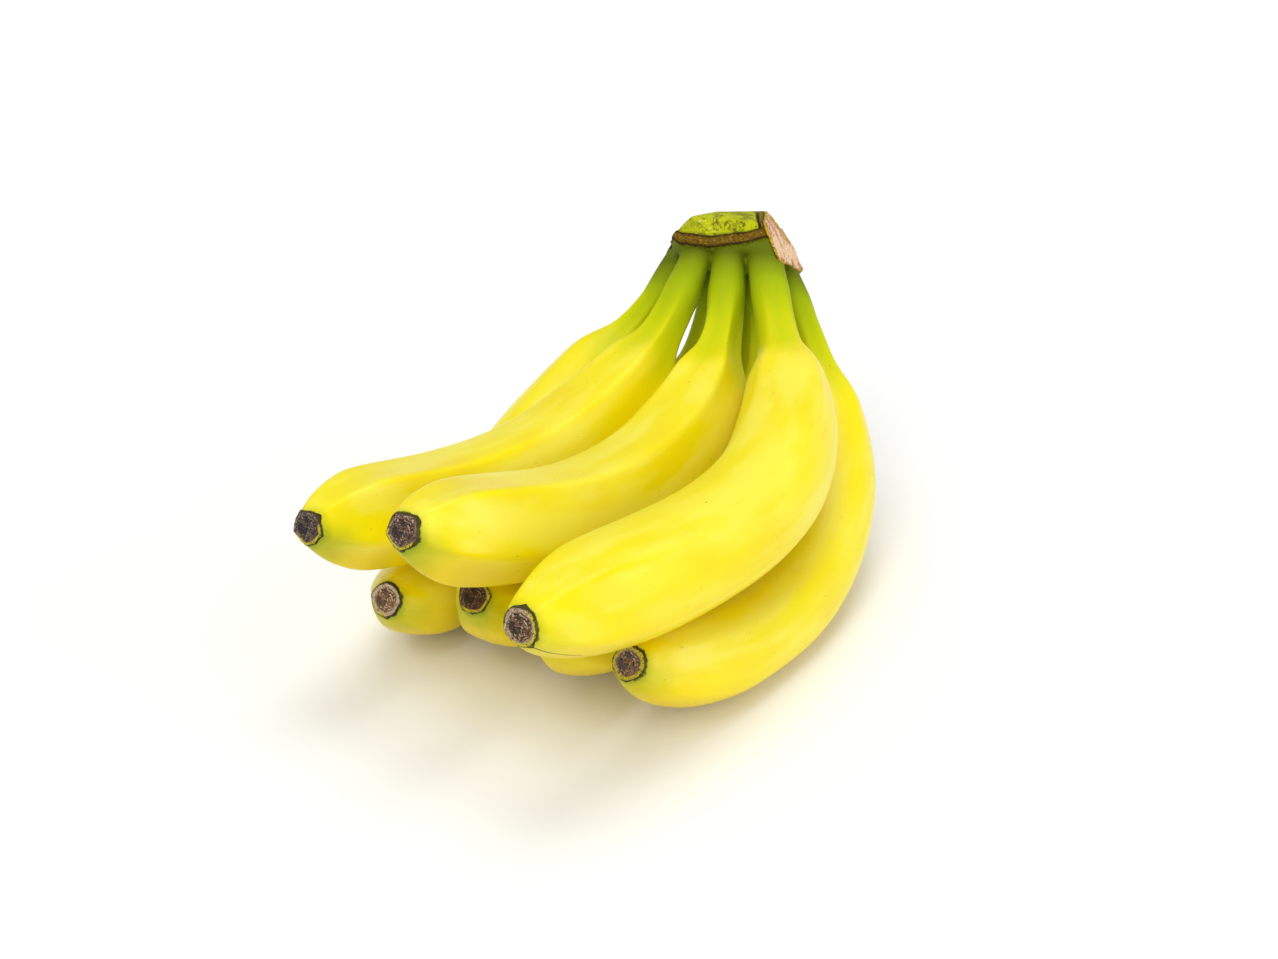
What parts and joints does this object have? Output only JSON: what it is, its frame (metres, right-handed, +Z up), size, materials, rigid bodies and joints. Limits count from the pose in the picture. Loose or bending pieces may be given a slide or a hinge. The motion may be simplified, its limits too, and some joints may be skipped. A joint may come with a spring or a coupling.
{
  "type": "bunch of bananas",
  "caption": "Hand of ripe yellow bananas in two rows, joined by green necks to one cut stalk crown, lying on the bellies of its lower row.",
  "frame": {"origin": "middle of the bounding box, on the surface that the bunch lies on", "axes": "+Z up; -Y towards the tips and the viewer, +Y towards the crown; +X to the viewer's right"},
  "size_m": [0.1812, 0.2232, 0.1026],
  "materials": {
    "banana_skin": "waxy satin",
    "stalk_crown": "satin, corky at the scar and fibrous at the cuts",
    "blossom_end": "dry and matte"
  },
  "bodies": {
    "root": {"lower_banana_1": "banana_skin", "lower_banana_2": "banana_skin", "lower_banana_3": "banana_skin", "lower_banana_4": "banana_skin", "upper_banana_1": "banana_skin", "upper_banana_2": "banana_skin", "upper_banana_3": "banana_skin", "crown": "stalk_crown"}
  },
  "joints": []
}
